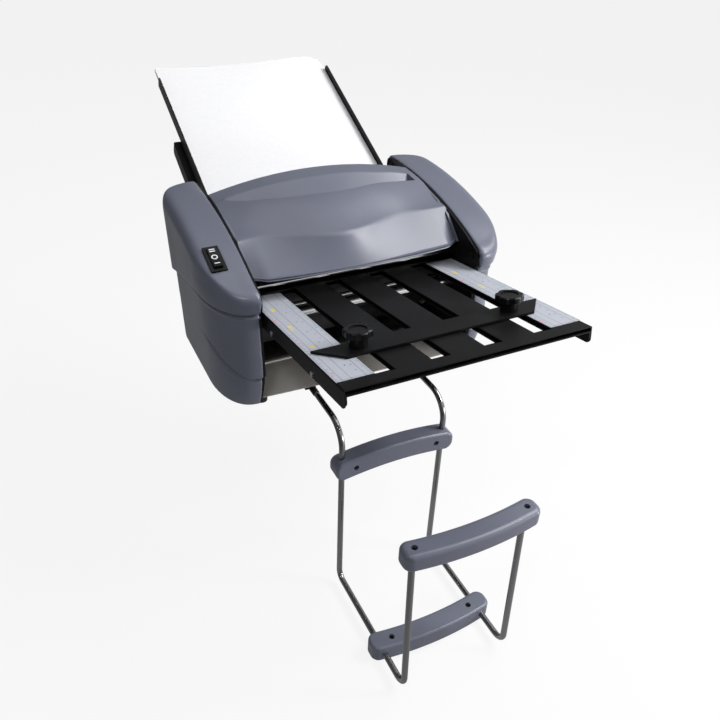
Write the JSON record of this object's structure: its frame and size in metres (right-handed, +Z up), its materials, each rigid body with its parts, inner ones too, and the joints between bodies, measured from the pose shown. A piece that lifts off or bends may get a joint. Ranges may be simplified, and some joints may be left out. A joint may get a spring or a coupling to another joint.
{
  "type": "paper folding machine",
  "caption": "Desktop paper folder: sloping feed tray, geared fold rollers under a bowed hood, two slotted fold tables with sliding stops, and a wire catch basket that hangs over the desk edge.",
  "frame": {"origin": "on the desk, midway between the side frames, in the plane of the rubber feet", "axes": "+X to the right seen from the front, +Y to the back, +Z up; the fold table points to -Y"},
  "size_m": [0.3252, 0.6123, 0.4703],
  "materials": {
    "cover_plastic": "satin moulded slate blue-grey plastic",
    "hood_plastic": "satin moulded slate blue-grey plastic",
    "frame_paint": "satin black paint",
    "table_paint": "satin black paint",
    "sheet_steel": "plain galvanised sheet",
    "rod_steel": "ground steel",
    "basket_chrome": "bright chrome plate",
    "bar_plastic": "satin moulded slate plastic",
    "roller_rubber": "ground rubber cover",
    "tyre_rubber": "soft rubber",
    "gear_nylon": "natural nylon",
    "bush_nylon": "natural nylon",
    "motor_paint": "black painted can",
    "guide_plastic": "black plastic",
    "foot_rubber": "soft rubber",
    "paper": "plain white copy paper",
    "scale_label": "printed pale blue-grey film",
    "knob_plastic": "polished black plastic",
    "switch_plastic": "black plastic",
    "screw_steel": "blackened steel",
    "rivet_steel": "bright rivet",
    "inlet_plastic": "black plastic",
    "sleeve_plastic": "black shrink sleeve"
  },
  "bodies": {
    "machine": {"base_pan": "sheet_steel", "exit_chute": "sheet_steel", "rubber_feet": "foot_rubber", "right_side_frame": "frame_paint", "left_side_frame": "frame_paint", "right_side_cover": "cover_plastic", "left_side_cover": "cover_plastic", "top_cover": "hood_plastic", "back_panel": "frame_paint", "inlet_socket": "inlet_plastic", "cover_screws": "screw_steel", "cross_rods": "rod_steel", "switch_bezel": "switch_plastic", "roller_bushes": "bush_nylon", "motor": "motor_paint", "separator_pads": "tyre_rubber", "separator_bracket": "guide_plastic", "sheet_guide": "guide_plastic", "paper_tray": "table_paint", "wire_sockets": "guide_plastic"},
    "roller_1": {"fold_roller_1": "roller_rubber", "roller_1_gear": "gear_nylon"},
    "roller_2": {"fold_roller_2": "roller_rubber", "roller_2_gear": "gear_nylon"},
    "roller_3": {"fold_roller_3": "roller_rubber", "roller_3_gear": "gear_nylon"},
    "roller_4": {"fold_roller_4": "roller_rubber", "roller_4_gear": "gear_nylon"},
    "feed": {"feed_shaft": "rod_steel", "feed_tyres": "tyre_rubber", "feed_gear": "gear_nylon"},
    "feed_idler": {"feed_idler_gear": "gear_nylon"},
    "drive_idler": {"drive_idler_gear": "gear_nylon"},
    "pinion": {"motor_pinion": "rod_steel"},
    "rocker": {"switch_rocker": "switch_plastic"},
    "stack": {"paper_stack": "paper"},
    "front_table": {"front_table_top": "table_paint", "front_table_bottom": "table_paint", "front_table_studs": "rivet_steel", "scale_strips": "scale_label"},
    "front_stop": {"fold_stop": "table_paint", "clamp_plates": "rod_steel"},
    "front_left_knob": {"left_knob": "knob_plastic"},
    "front_right_knob": {"right_knob": "knob_plastic"},
    "rear_table": {"rear_table_top": "table_paint", "rear_table_bottom": "table_paint", "rear_table_studs": "rivet_steel"},
    "rear_stop": {"rear_fold_stop": "table_paint", "rear_clamp_plates": "rod_steel"},
    "rear_knob_left": {"rear_left_knob": "knob_plastic"},
    "rear_knob_right": {"rear_right_knob": "knob_plastic"},
    "basket": {"left_basket_wire": "basket_chrome", "right_basket_wire": "basket_chrome", "upper_bar_front": "bar_plastic", "upper_bar_back": "bar_plastic", "lower_bar_top": "bar_plastic", "lower_bar_bottom": "bar_plastic", "basket_handle": "bar_plastic", "bar_screws": "screw_steel", "wire_sleeves": "sleeve_plastic"}
  },
  "joints": [
    {"name": "roller_1_spin", "type": "hinge", "parent": "machine", "child": "roller_1", "pos_m": [0, -0.01663, 0.11737], "axis": [1, 0, 0], "continuous": true},
    {"name": "roller_2_spin", "type": "hinge", "parent": "machine", "child": "roller_2", "pos_m": [0, -0.02117, 0.08943], "axis": [1, 0, 0], "continuous": true},
    {"name": "roller_3_spin", "type": "hinge", "parent": "machine", "child": "roller_3", "pos_m": [0, -0.0081, 0.06433], "axis": [1, 0, 0], "continuous": true},
    {"name": "roller_4_spin", "type": "hinge", "parent": "machine", "child": "roller_4", "pos_m": [0, 0.00158, 0.03774], "axis": [1, 0, 0], "continuous": true},
    {"name": "feed_idler_spin", "type": "hinge", "parent": "machine", "child": "feed_idler", "pos_m": [0, 0.00978, 0.13422], "axis": [1, 0, 0], "continuous": true},
    {"name": "feed_spin", "type": "hinge", "parent": "machine", "child": "feed", "pos_m": [0, 0.03752, 0.14647], "axis": [1, 0, 0], "continuous": true},
    {"name": "drive_idler_spin", "type": "hinge", "parent": "machine", "child": "drive_idler", "pos_m": [0, 0.02807, 0.05629], "axis": [1, 0, 0], "continuous": true},
    {"name": "motor_spin", "type": "hinge", "parent": "machine", "child": "pinion", "pos_m": [0, 0.05217, 0.04348], "axis": [1, 0, 0], "continuous": true},
    {"name": "switch_rock", "type": "hinge", "parent": "machine", "child": "rocker", "pos_m": [-0.1445, -0.051, 0.15689], "axis": [1, 0, 0], "range_deg": [-9, 9]},
    {"name": "stack_lift_out", "type": "slide", "parent": "machine", "child": "stack", "axis": [0, 0.9026, 0.4305], "range_m": [0, 0.24]},
    {"name": "front_table_lift_out", "type": "slide", "parent": "machine", "child": "front_table", "axis": [0, -0.9871, 0.1603], "range_m": [0, 0.2]},
    {"name": "front_stop_slide", "type": "slide", "parent": "front_table", "child": "front_stop", "axis": [0, -0.9871, 0.1603], "range_m": [-0.11, 0.035]},
    {"name": "rear_table_lift_out", "type": "slide", "parent": "machine", "child": "rear_table", "axis": [0, 0.887, 0.4617], "range_m": [0, 0.2]},
    {"name": "rear_stop_slide", "type": "slide", "parent": "rear_table", "child": "rear_stop", "axis": [0, 0.887, 0.4617], "range_m": [-0.07, 0.03]},
    {"name": "front_left_knob_turn", "type": "hinge", "parent": "front_stop", "child": "front_left_knob", "pos_m": [-0.0743, -0.21193, 0.14063], "axis": [0, 0.1603, 0.9871], "range_deg": [0, 720]},
    {"name": "front_right_knob_turn", "type": "hinge", "parent": "front_stop", "child": "front_right_knob", "pos_m": [0.0743, -0.21193, 0.14063], "axis": [0, 0.1603, 0.9871], "range_deg": [0, 720]},
    {"name": "rear_left_knob_turn", "type": "hinge", "parent": "rear_stop", "child": "rear_knob_left", "pos_m": [-0.0743, 0.15258, 0.15739], "axis": [0, 0.4617, -0.887], "range_deg": [0, 720]},
    {"name": "rear_right_knob_turn", "type": "hinge", "parent": "rear_stop", "child": "rear_knob_right", "pos_m": [0.0743, 0.15258, 0.15739], "axis": [0, 0.4617, -0.887], "range_deg": [0, 720]},
    {"name": "basket_pull_out", "type": "slide", "parent": "machine", "child": "basket", "axis": [0, -1, 0], "range_m": [0, 0.06]}
  ],
  "couplings": [
    {"joint": "roller_2_spin", "follows": "roller_1_spin", "ratio": -1},
    {"joint": "roller_3_spin", "follows": "roller_1_spin", "ratio": 1},
    {"joint": "roller_4_spin", "follows": "roller_1_spin", "ratio": -1},
    {"joint": "feed_idler_spin", "follows": "roller_1_spin", "ratio": -0.82353},
    {"joint": "feed_spin", "follows": "roller_1_spin", "ratio": 1.0769},
    {"joint": "drive_idler_spin", "follows": "roller_1_spin", "ratio": 0.77778},
    {"joint": "motor_spin", "follows": "roller_1_spin", "ratio": -1.5556}
  ]
}
